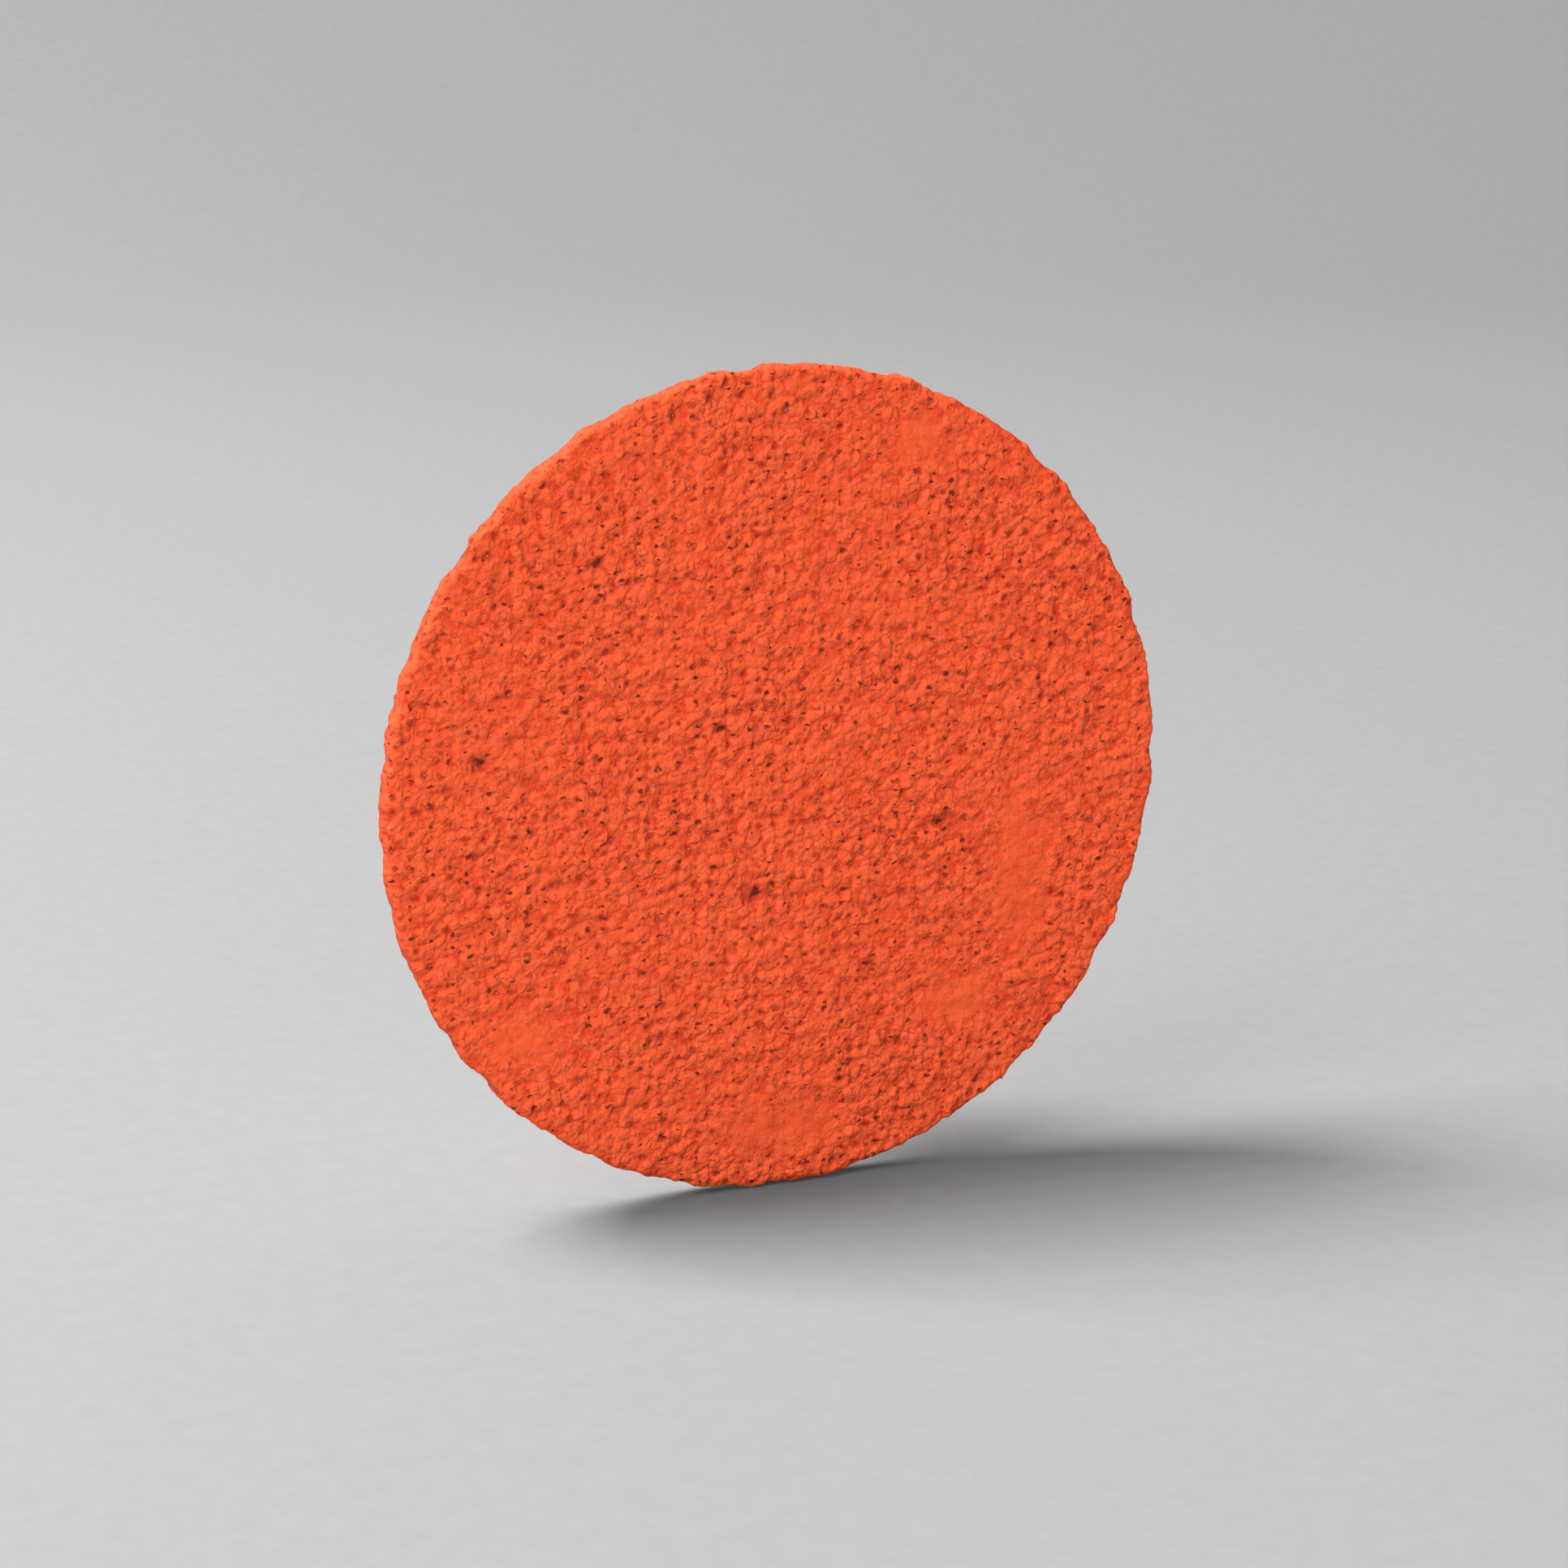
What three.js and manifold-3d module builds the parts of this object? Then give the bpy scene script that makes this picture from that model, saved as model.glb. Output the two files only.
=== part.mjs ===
// A 50 mm quick-change abrasive disc for a small angle grinder, in millimetres.
// It stands upright on its rim: the spin axis is Y, the grain face looks along -Y,
// and the threaded button points along +Y. The origin is the centre of the button's end.
// "Back" is the button's side of a layer and "front" is its grain side.
import * as THREE from 'three';
import { mergeVertices } from 'three/addons/utils/BufferGeometryUtils.js';
import Module from 'manifold-3d';

const wasm = await Module();
wasm.setup();

// Disc layers
const DISC_DIAMETER = 50.8;
const BACKING_THICKNESS = 0.85;
const BACKING_EDGE_CHAMFER = 0.4;
const MAKE_COAT_THICKNESS = 0.12;
const GRAIN_COAT_THICKNESS = 0.75;
const SUPERSIZE_THICKNESS = 0.2;

// Chipped rim of the brittle coats: each wave has a count round the rim and a depth
const CHIP_WAVES = [
  { count: 23, depth: 0.05, phase: 0.4 },
  { count: 37, depth: 0.07, phase: 1.9 },
  { count: 52, depth: 0.06, phase: 3.1 },
];

// Button flange, thinner at its edge than at the stud
const FLANGE_DIAMETER = 28;
const FLANGE_HUB_THICKNESS = 1.7;
const FLANGE_EDGE_THICKNESS = 0.9;
const FLANGE_EDGE_RADIUS = 0.35;

// Rounded single-start thread, faded out over an angle at both ends
const THREAD_MAJOR_DIAMETER = 16;
const THREAD_PITCH = 3.6;
const THREAD_TURNS = 1.25;
const THREAD_WIDTH = 2.3;
const THREAD_FLANK_SHARE = 0.6;
const THREAD_RUNOUT_ANGLE = Math.PI / 5;

// Stud: it is as long as its chamfer, its thread and its fillet together
const STUD_ROOT_DIAMETER = 12.8;
const STUD_FILLET_RADIUS = 0.8;
const STUD_END_CHAMFER = 0.7;
const STUD_LENGTH = STUD_END_CHAMFER + THREAD_WIDTH + THREAD_PITCH * THREAD_TURNS + STUD_FILLET_RADIUS;

// Coring of the stud's end: a ring-shaped pocket round a boss, bridged by ribs
const BOSS_DIAMETER = 4.4;
const STUD_WALL = 1.6;
const CORING_FLOOR = 2.4;
const RIB_COUNT = 3;
const RIB_THICKNESS = 1.1;
const RIB_SETBACK = 1.2;

// Hot-melt bond between the flange and the backing
const BOND_THICKNESS = 0.18;
const BOND_MARGIN = 0.5;

// Fineness of the round shapes
const RIM_SEGMENTS = 180;
const FLANGE_SEGMENTS = 72;
const THREAD_STEPS = 28;
const ARC_STEPS = 4;
const MERGE_TOLERANCE = 1e-4;
const CUT_OVERSHOOT = 1;

// Where each layer starts, from the stud's end towards the grain
const FLANGE_BACK_Y = -STUD_LENGTH;
const BOND_BACK_Y = FLANGE_BACK_Y - FLANGE_HUB_THICKNESS;
const BACKING_BACK_Y = BOND_BACK_Y - BOND_THICKNESS;
const MAKE_COAT_BACK_Y = BACKING_BACK_Y - BACKING_THICKNESS;
const GRAIN_COAT_BACK_Y = MAKE_COAT_BACK_Y - MAKE_COAT_THICKNESS;
const SUPERSIZE_BACK_Y = GRAIN_COAT_BACK_Y - GRAIN_COAT_THICKNESS;
const FACE_Y = SUPERSIZE_BACK_Y - SUPERSIZE_THICKNESS;

// The supersize coat laps over the rim of the coats behind it. The backing stays
// inside the deepest chip of those coats.
const COAT_RADIUS = DISC_DIAMETER / 2 - SUPERSIZE_THICKNESS;
const DEEPEST_CHIP = CHIP_WAVES.reduce((sum, wave) => sum + wave.depth, 0);
const BACKING_RADIUS = COAT_RADIUS - DEEPEST_CHIP;

// Merges a geometry's shared vertices into one closed surface
function closed(geometry) {
  geometry.deleteAttribute('normal');
  geometry.deleteAttribute('uv');
  return mergeVertices(geometry, MERGE_TOLERANCE);
}

function toSolid(geometry) {
  const surface = closed(geometry);
  return new wasm.Manifold(new wasm.Mesh({
    numProp: 3,
    vertProperties: new Float32Array(surface.attributes.position.array),
    triVerts: new Uint32Array(surface.index.array),
  }));
}

function toGeometry(solid) {
  const { vertProperties, triVerts } = solid.getMesh();
  const geometry = new THREE.BufferGeometry();
  geometry.setAttribute('position', new THREE.BufferAttribute(vertProperties, 3));
  geometry.setIndex(new THREE.BufferAttribute(triVerts, 1));
  return geometry;
}

// Turns [radius, y] points, listed from the grain side to the button's side, about Y
function turned(points, segments) {
  return new THREE.LatheGeometry(points.map(([r, y]) => new THREE.Vector2(r, y)), segments);
}

// Moves each point of a turned geometry outwards by growth(angle, y, r)
function swell(geometry, growth) {
  const position = geometry.attributes.position;
  for (let i = 0; i < position.count; i++) {
    const x = position.getX(i);
    const z = position.getZ(i);
    const r = Math.hypot(x, z);
    if (r < MERGE_TOLERANCE) continue;
    const scale = 1 + growth(Math.atan2(x, z), position.getY(i), r) / r;
    position.setX(i, x * scale);
    position.setZ(i, z * scale);
  }
  return geometry;
}

// A quarter arc of [radius, y] points about a centre, between two angles
function arc(centreR, centreY, radius, startAngle, endAngle) {
  return Array.from({ length: ARC_STEPS + 1 }, (_, i) => {
    const angle = startAngle + (endAngle - startAngle) * i / ARC_STEPS;
    return [centreR + radius * Math.cos(angle), centreY + radius * Math.sin(angle)];
  });
}

// How far the chipped rim stands out at an angle. It leaves the middle of a layer flat.
function chippedRim(angle, y, r) {
  if (r < BACKING_RADIUS) return 0;
  return CHIP_WAVES.reduce((sum, wave) => sum + wave.depth * Math.sin(wave.count * angle + wave.phase), 0);
}

// A flat coat inside the supersize coat, with the chipped rim
function coatLayer(backY, thickness) {
  const frontY = backY - thickness;
  const profile = [[0, frontY], [COAT_RADIUS, frontY], [COAT_RADIUS, backY], [0, backY]];
  return closed(swell(turned(profile, RIM_SEGMENTS), chippedRim));
}

// The outer coat: a face with a skirt that laps over the rim as far as the backing
function supersizeCoat() {
  const outerRadius = DISC_DIAMETER / 2;
  const profile = [
    [0, FACE_Y],
    [outerRadius, FACE_Y],
    [outerRadius, MAKE_COAT_BACK_Y],
    [COAT_RADIUS, MAKE_COAT_BACK_Y],
    [COAT_RADIUS, SUPERSIZE_BACK_Y],
    [0, SUPERSIZE_BACK_Y],
  ];
  return closed(swell(turned(profile, RIM_SEGMENTS), chippedRim));
}

// The punched fibre disc. The ring edge at the flange's radius keeps the open part
// of the back a face of its own.
function fibreBacking() {
  const ringRadius = FLANGE_DIAMETER / 2;
  const profile = [
    [0, MAKE_COAT_BACK_Y],
    [BACKING_RADIUS, MAKE_COAT_BACK_Y],
    [BACKING_RADIUS, BACKING_BACK_Y - BACKING_EDGE_CHAMFER],
    [BACKING_RADIUS - BACKING_EDGE_CHAMFER, BACKING_BACK_Y],
    [ringRadius, BACKING_BACK_Y],
    [0, BACKING_BACK_Y],
  ];
  return closed(turned(profile, RIM_SEGMENTS));
}

function bondFilm() {
  const radius = FLANGE_DIAMETER / 2 - BOND_MARGIN;
  const profile = [[0, BACKING_BACK_Y], [radius, BACKING_BACK_Y], [radius, BOND_BACK_Y], [0, BOND_BACK_Y]];
  return closed(turned(profile, FLANGE_SEGMENTS));
}

// Smooth step from 0 to 1
function ease(t) {
  return THREE.MathUtils.smootherstep(t, 0, 1);
}

// Height of the thread above the stud's root, by angle and place along the stud.
// The thread is right-handed: it comes nearer the grain as the angle falls.
function threadHeight(angle, y) {
  const depth = (THREAD_MAJOR_DIAMETER - STUD_ROOT_DIAMETER) / 2;
  const fullTurn = 2 * Math.PI;
  const fullAngle = THREAD_TURNS * fullTurn;
  const firstCrestY = -STUD_END_CHAMFER - THREAD_WIDTH / 2;
  let height = 0;
  for (let along = (2 * fullTurn - angle) % fullTurn; along < fullAngle; along += fullTurn) {
    const crestY = firstCrestY - THREAD_PITCH * along / fullTurn;
    const fromCrest = Math.abs(y - crestY) / (THREAD_WIDTH / 2);
    const flank = ease((1 - fromCrest) / THREAD_FLANK_SHARE);
    const runIn = ease(along / THREAD_RUNOUT_ANGLE);
    const runOut = ease((fullAngle - along) / THREAD_RUNOUT_ANGLE);
    height = Math.max(height, depth * flank * runIn * runOut);
  }
  return height;
}

// The flange and the threaded stud, before coring
function buttonBlank() {
  const flangeRadius = FLANGE_DIAMETER / 2;
  const rootRadius = STUD_ROOT_DIAMETER / 2;
  const edgeCentreY = BOND_BACK_Y + FLANGE_EDGE_THICKNESS - FLANGE_EDGE_RADIUS;
  const filletCentreR = rootRadius + STUD_FILLET_RADIUS;
  const threadFrontY = FLANGE_BACK_Y + STUD_FILLET_RADIUS;
  const threadBackY = -STUD_END_CHAMFER;
  const wall = Array.from({ length: THREAD_STEPS }, (_, i) => {
    const share = (i + 1) / THREAD_STEPS;
    return [rootRadius, THREE.MathUtils.lerp(threadFrontY, threadBackY, share)];
  });
  const profile = [
    [0, BOND_BACK_Y],
    [flangeRadius, BOND_BACK_Y],
    ...arc(flangeRadius - FLANGE_EDGE_RADIUS, edgeCentreY, FLANGE_EDGE_RADIUS, 0, Math.PI / 2),
    ...arc(filletCentreR, threadFrontY, STUD_FILLET_RADIUS, -Math.PI / 2, -Math.PI),
    ...wall,
    [rootRadius - STUD_END_CHAMFER, 0],
    [0, 0],
  ];
  const threadGrowth = (angle, y, r) => {
    const onWall = y > threadFrontY && r > rootRadius - MERGE_TOLERANCE;
    return onWall ? threadHeight(angle, y) : 0;
  };
  return toSolid(swell(turned(profile, FLANGE_SEGMENTS), threadGrowth));
}

// The ring-shaped pocket in the stud's end, less the ribs that bridge it
function coring() {
  const innerRadius = BOSS_DIAMETER / 2;
  const outerRadius = STUD_ROOT_DIAMETER / 2 - STUD_WALL;
  const floorY = BOND_BACK_Y + CORING_FLOOR;
  const ring = toSolid(turned([
    [innerRadius, floorY],
    [outerRadius, floorY],
    [outerRadius, CUT_OVERSHOOT],
    [innerRadius, CUT_OVERSHOOT],
    [innerRadius, floorY],
  ], FLANGE_SEGMENTS));
  const ribBackY = -RIB_SETBACK;
  const ribFrontY = floorY - CUT_OVERSHOOT;
  const ribLength = outerRadius + CUT_OVERSHOOT;
  return Array.from({ length: RIB_COUNT }).reduce((pocket, _, i) => {
    const rib = new THREE.BoxGeometry(RIB_THICKNESS, ribBackY - ribFrontY, ribLength);
    rib.translate(0, (ribBackY + ribFrontY) / 2, ribLength / 2);
    rib.rotateY(2 * Math.PI * i / RIB_COUNT);
    return pocket.subtract(toSolid(rib));
  }, ring);
}

function threadedButton() {
  return toGeometry(buttonBlank().subtract(coring()));
}

const disc = new THREE.Group();

function addPiece(name, geometry, color, roughness) {
  geometry.computeVertexNormals();
  const material = new THREE.MeshStandardMaterial({ color, roughness, metalness: 0 });
  const piece = new THREE.Mesh(geometry, material);
  piece.name = name;
  disc.add(piece);
}

addPiece('supersize_coat', supersizeCoat(), 0xe45330, 0.85);
addPiece('grain_coat', coatLayer(GRAIN_COAT_BACK_Y, GRAIN_COAT_THICKNESS), 0x6b4a3c, 0.7);
addPiece('make_coat', coatLayer(MAKE_COAT_BACK_Y, MAKE_COAT_THICKNESS), 0x8a3a22, 0.5);
addPiece('fibre_backing', fibreBacking(), 0x5a2a24, 0.7);
addPiece('bond_film', bondFilm(), 0xd8c9a0, 0.4);
addPiece('threaded_button', threadedButton(), 0xe9e6dc, 0.45);

export default disc;
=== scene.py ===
"""A 50 mm quick-change abrasive disc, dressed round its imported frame.

The disc stands on its rim: its axis is Y, its grain face looks along -Y, and its nylon button
points along +Y. Each piece's outer bounds come from the frame, and the sizes within a piece are
given here. Lengths are in metres.
"""

import math
from functools import partial

import bmesh
import bpy
import numpy as np
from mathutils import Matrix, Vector


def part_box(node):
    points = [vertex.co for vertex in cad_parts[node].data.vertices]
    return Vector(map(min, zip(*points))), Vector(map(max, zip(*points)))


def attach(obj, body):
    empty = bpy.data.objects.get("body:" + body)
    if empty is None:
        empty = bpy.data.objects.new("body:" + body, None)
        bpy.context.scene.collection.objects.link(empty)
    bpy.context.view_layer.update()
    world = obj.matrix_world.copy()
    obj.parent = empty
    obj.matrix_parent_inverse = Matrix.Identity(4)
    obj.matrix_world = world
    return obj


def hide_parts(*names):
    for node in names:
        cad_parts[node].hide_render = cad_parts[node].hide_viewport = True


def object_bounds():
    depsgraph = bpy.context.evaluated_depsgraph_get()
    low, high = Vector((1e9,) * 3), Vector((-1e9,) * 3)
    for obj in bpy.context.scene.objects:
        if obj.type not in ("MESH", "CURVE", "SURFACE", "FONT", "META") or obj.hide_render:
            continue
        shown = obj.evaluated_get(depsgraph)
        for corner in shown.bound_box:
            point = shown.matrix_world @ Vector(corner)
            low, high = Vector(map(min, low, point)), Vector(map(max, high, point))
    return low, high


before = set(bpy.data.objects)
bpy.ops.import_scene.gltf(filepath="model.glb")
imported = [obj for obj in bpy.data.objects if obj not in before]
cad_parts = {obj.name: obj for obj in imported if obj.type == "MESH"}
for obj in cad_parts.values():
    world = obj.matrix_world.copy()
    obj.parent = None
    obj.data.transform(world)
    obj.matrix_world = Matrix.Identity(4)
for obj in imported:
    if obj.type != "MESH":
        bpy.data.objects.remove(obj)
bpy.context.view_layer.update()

MM = 0.001
TURN = 2 * math.pi

# The coated face, about grade 36
COAT_THICKNESS = 0.2 * MM
COAT_CORNER = 0.35 * MM          # rounding where the face turns into the rim
FACE_GRID = 284                  # squares along each side of the face's grid
GRAIN_PITCH = 0.64 * MM
FINE_PITCH = 0.34 * MM           # small grain between the large
CLUMP_PITCH = 1.9 * MM
PATCH_PITCH = 8.0 * MM           # areas with coarser and finer grain
LUMP_PITCH = 1.15 * MM           # the larger grain
GRAIN_HEIGHT = 0.13 * MM
LUMP_HEIGHT = 0.045 * MM
CLUMP_HEIGHT = 0.24 * MM
DENT_DEPTH = 0.065 * MM
PIT_DEPTH = 0.16 * MM
GRAIN_LEVEL = 0.45               # the height within a grain that lies level with the coat
LUMP_LEVEL = 0.4
FACE_CREASE = 0.45               # how softly the grains meet in the skin, and in its colours
COLOUR_CREASE = 0.3
PROUDEST = 0.14 * MM             # the relief stays between these two
DEEPEST = 0.17 * MM
EDGE_RELIEF = 1.1                # the relief on the rim, as a share of the face's
EDGE_BLEND = 0.03                # the outer share of the face over which it gets there

# Bump in the material: it deepens the skin's grain and dents, and adds what is finer than its mesh
GRAIN_BUMP = 0.085 * MM
FINE_BUMP = 0.085 * MM
CHALK_BUMP = 0.05 * MM
PORE_BUMP = 0.09 * MM
DENT_BUMP = 0.04 * MM

# How the coat's patterns are pushed about: the pitch of the push and its reach
GRAIN_BEND = (0.8 * MM, 0.5 * MM)
LUMP_BEND = (1.3 * MM, 0.8 * MM)
POOL_BEND = (1.9 * MM, 3.4 * MM)
PIT_BEND = (0.8 * MM, 1.3 * MM)
SPOT_BEND = (0.5 * MM, 0.35 * MM)
PORE_BEND = (0.4 * MM, 0.4 * MM)

# Scattered spots in the coat: how far apart, in which share of places, their radii and how soft their edge is
DENTS = {"pitch": 1.05 * MM, "share": 0.8, "smallest": 0.12 * MM, "largest": 0.45 * MM, "soft": 0.95}
PORES = {"pitch": 1.2 * MM, "share": 0.42, "smallest": 0.08 * MM, "largest": 0.3 * MM, "soft": 0.85}
THIN_COAT = {"pitch": 0.85 * MM, "share": 0.6, "smallest": 0.1 * MM, "largest": 0.3 * MM, "soft": 0.95}
PAINTED_GLINTS = {"pitch": 1.05 * MM, "share": 0.4, "smallest": 0.02 * MM, "largest": 0.045 * MM, "soft": 0.5}
UNDERCUT = 1.6                   # the painted undercut shadows are this many times as wide as they are high

# Pools where the coat ran smooth, in mm: centre across and up from the axis, half width and half height
POOLS = [(9, 20.4, 2.0, 1.6), (16, -6.5, 1.9, 5.6), (-16.6, -14, 2.2, 1.9), (-0.5, -21.7, 4.2, 1.8),
         (11.5, -15, 2.6, 1.8)]
# Pits where grain is missing, in mm: centre across and up, radius
PITS = [(-1.8, -6.6, 0.8), (-4.2, 3.7, 0.45), (-19.4, 3.2, 0.6), (10.5, -3.3, 0.6), (-12, 14.5, 0.5),
        (5.5, -12, 0.5)]
POOL_SOFTNESS = 0.6
POOL_RELIEF = 0.25               # the relief left in a pool's middle
PIT_SOFTNESS = 0.85
PIT_FLATNESS = 0.7               # a pit's height, as a share of its width

TIP_SIZE = 0.13 * MM             # radius of the grain tips that stand out of the coat
TIPS_PER_MM2 = 0.22
TIP_SEED = 11
TIP_SINK = 0.35                  # how deep a tip sits in the coat, as a share of its radius
TIP_SMALLEST_CREST = 0.52        # tips stand only on grain at least this high

# The nylon button
BUTTON_SEGMENTS = 288
EDGE_ROUND = 0.15 * MM
THREAD_RADIUS = 8.0 * MM
ROOT_RADIUS = 6.4 * MM
THREAD_PITCH = 3.6 * MM
THREAD_TURNS = 1.25
THREAD_WIDTH = 2.3 * MM
THREAD_FLANK_SHARE = 0.6
THREAD_RUNOUT = math.pi / 5
STUD_FILLET = 0.8 * MM
STUD_CHAMFER = 0.7 * MM
FLANGE_BACK_Y = -8.3 * MM
FLANGE_EDGE = 0.9 * MM
FLANGE_ROUND = 0.35 * MM
BOSS_RADIUS = 2.2 * MM
POCKET_RADIUS = 4.8 * MM
POCKET_FLOOR_Y = -7.6 * MM
POCKET_FILLET = 0.35 * MM
RIB_COUNT = 3
RIB_THICKNESS = 1.1 * MM
RIB_TOP_Y = -1.2 * MM
EJECTOR_RADIUS = 1.1 * MM
EJECTOR_CIRCLE = 10.7 * MM
EJECTOR_DEPTH = 0.07 * MM
EJECTOR_EDGE = 0.3 * MM
GATE_RADIUS = 0.75 * MM
GATE_DEPTH = 0.22 * MM
GATE_EDGE = 0.35 * MM
NIB_RADIUS = 0.28 * MM
NIB_EDGE = 0.12 * MM
NIB_HEIGHT = 0.6                 # as a share of the gate mark's depth
RIB_SINK = 0.3 * MM              # how far a rib reaches into the pocket's floor
RIB_OVERLAP = 0.4 * MM           # and into the stud's wall
RIB_DRAFT = 1.12                 # a rib's foot is this much thicker, so that it leaves its tool
RIB_ROUND = 0.2 * MM

FIBRE_SEGMENTS = 360
FIBRE_EDGE_ROUND = 0.4 * MM
FIBRE_BEVEL = 0.05 * MM
TEAR_HEIGHT = 0.012 * MM         # each ripple of the punched edge is at most this high
TEAR_WAVES = (61, 83, 97, 131, 149, 167)
FELT_SCALE = 4.5 * MM            # bands of this scale have their crests 1.4 mm apart
FIBRE_SEED = 7
BOND_SEGMENTS = 240
BOND_EDGE_WAVE = 0.3 * MM
BOND_WAVES = (2, 3, 5, 8, 13, 21)
BOND_SEED = 5


# ---------------------------------------------------------------- helpers

def linear(hex_colour):
    """The linear RGBA of an sRGB hex colour."""
    channels = [int(hex_colour[i:i + 2], 16) / 255 for i in (1, 3, 5)]
    return (*[c / 12.92 if c <= 0.04045 else ((c + 0.055) / 1.055) ** 2.4 for c in channels], 1.0)


def add_node(tree, kind, inputs=(), **settings):
    """Adds a node with its settings.

    An input is a value, a socket, or a node whose first live output feeds it.
    """
    node = tree.nodes.new(kind)
    for name, value in settings.items():
        setattr(node, name, value)
    for key, value in inputs.items() if isinstance(inputs, dict) else enumerate(inputs):
        if isinstance(value, bpy.types.Node):
            value = next(output for output in value.outputs if output.enabled)
        if isinstance(value, bpy.types.NodeSocket):
            tree.links.new(value, node.inputs[key])
        elif isinstance(value, str) and value.startswith("#"):
            node.inputs[key].default_value = linear(value)
        else:
            node.inputs[key].default_value = value
    return node


def mesh_piece(name, points, faces):
    """A smooth-shaded object of those points and faces, with its faces turned outwards."""
    mesh = bpy.data.meshes.new(name)
    mesh.from_pydata(np.asarray(points).tolist(), [], faces)
    work = bmesh.new()
    work.from_mesh(mesh)
    bmesh.ops.recalc_face_normals(work, faces=work.faces)
    work.to_mesh(mesh)
    work.free()
    mesh.shade_smooth()
    piece = bpy.data.objects.new(name, mesh)
    bpy.context.scene.collection.objects.link(piece)
    return piece


def ring_faces(rings, segments):
    """Quads between rings of points that follow one another, closed round the axis."""
    start = np.arange(rings - 1)[:, None] * segments
    here = np.arange(segments)
    after = (here + 1) % segments
    this_ring = [start + here, start + after]
    next_ring = [start + segments + after, start + segments + here]
    quads = np.stack(this_ring + next_ring, axis=-1)
    return quads.reshape(-1, 4).tolist()


def turned_piece(name, profile, segments, shape=None):
    """A closed solid turned about the Y axis from (radius, y) points that start and end on the axis.

    shape(angle, radius, y) gives the radius and y that each point really has.
    """
    profile = np.array(profile)
    angle = TURN * np.arange(segments) / segments
    radius = np.repeat(profile[1:-1, :1], segments, axis=1)
    y = np.repeat(profile[1:-1, 1:], segments, axis=1)
    if shape:
        radius, y = shape(np.broadcast_to(angle, radius.shape), radius, y)
    points = np.stack([radius * np.sin(angle), y, radius * np.cos(angle)], axis=-1).reshape(-1, 3)
    rings = len(profile) - 2
    first_pole, last_pole = len(points), len(points) + 1
    points = np.concatenate([points, [[0, profile[0, 1], 0], [0, profile[-1, 1], 0]]])
    last_ring = (rings - 1) * segments
    caps = []
    for k in range(segments):
        after = (k + 1) % segments
        caps.append((first_pole, k, after))
        caps.append((last_pole, last_ring + after, last_ring + k))
    return mesh_piece(name, points, ring_faces(rings, segments) + caps)


def arc(centre_radius, centre_y, size, start, end, steps):
    """Points on an arc in the (radius, y) plane. Angles are in degrees, from +radius towards +y."""
    turns = np.radians(np.linspace(start, end, steps + 1))
    return [(centre_radius + size * math.cos(t), centre_y + size * math.sin(t)) for t in turns]


def line(start, end, steps):
    """Points after start, up to and including end."""
    return [tuple(p) for p in np.linspace(start, end, steps + 1)[1:]]


def smooth_step(t):
    """Runs from 0 to 1 with level, unbent ends."""
    t = np.clip(t, 0, 1)
    return t * t * t * (t * (6 * t - 15) + 10)


def apply_tree(piece, tree):
    """Runs a Geometry Nodes tree on a piece, and leaves the result as its plain mesh."""
    modifier = piece.modifiers.new(tree.name, "NODES")
    modifier.node_group = tree
    graph = bpy.context.evaluated_depsgraph_get()
    evaluated = piece.evaluated_get(graph)
    result = bpy.data.meshes.new_from_object(evaluated, preserve_all_data_layers=True, depsgraph=graph)
    piece.modifiers.remove(modifier)
    piece.data = result
    return piece


def geometry_tree(name, sizes):
    """A Geometry Nodes tree with a geometry input and a named number for each size."""
    tree = bpy.data.node_groups.new(name, "GeometryNodeTree")
    tree.interface.new_socket("Geometry", in_out="INPUT", socket_type="NodeSocketGeometry")
    for label, value in sizes.items():
        tree.interface.new_socket(label, in_out="INPUT", socket_type="NodeSocketFloat").default_value = value
    tree.interface.new_socket("Geometry", in_out="OUTPUT", socket_type="NodeSocketGeometry")
    return tree, tree.nodes.new("NodeGroupInput").outputs


def end_tree(tree, geometry, material):
    """Every tree ends in real geometry with its material."""
    real = add_node(tree, "GeometryNodeRealizeInstances", {"Geometry": geometry})
    finished = add_node(tree, "GeometryNodeSetMaterial", {"Geometry": real, "Material": material})
    add_node(tree, "NodeGroupOutput", {"Geometry": finished})
    return tree


def settle(piece, slot, *nodes):
    """Every finished piece rides on the one body and may stand for CAD nodes; its slot argument is not used.
    """
    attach(piece, "root")
    if nodes:
        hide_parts(*nodes)
    return piece


# ---------------------------------------------------------------- places from the frame

coat_low, coat_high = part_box("supersize_coat")
fibre_low, fibre_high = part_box("fibre_backing")
bond_low, bond_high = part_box("bond_film")
button_low, button_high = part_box("threaded_button")
grain_low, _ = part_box("grain_coat")

FACE_Y = coat_low.y
COAT_BACK_Y = coat_high.y
GRAIN_FRONT_Y = grain_low.y
FIBRE_RADIUS = fibre_high.z
BOND_RADIUS = bond_high.z
FLANGE_RADIUS = button_high.z


def cad_rim(node):
    """Angles and radii of a node's outermost points, in order round the axis."""
    points = np.array([v.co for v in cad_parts[node].data.vertices])
    radii = np.hypot(points[:, 0], points[:, 2])
    angles = np.round(np.arctan2(points[:, 0], points[:, 2]), 3)
    rim = {}
    for angle, radius in zip(angles, radii):
        if radius > FIBRE_RADIUS:
            rim[angle] = max(radius, rim.get(angle, 0.0))
    order = sorted(rim)
    return np.array(order), np.array([rim[angle] for angle in order])


# ---------------------------------------------------------------- the relief of the coated grain

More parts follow.
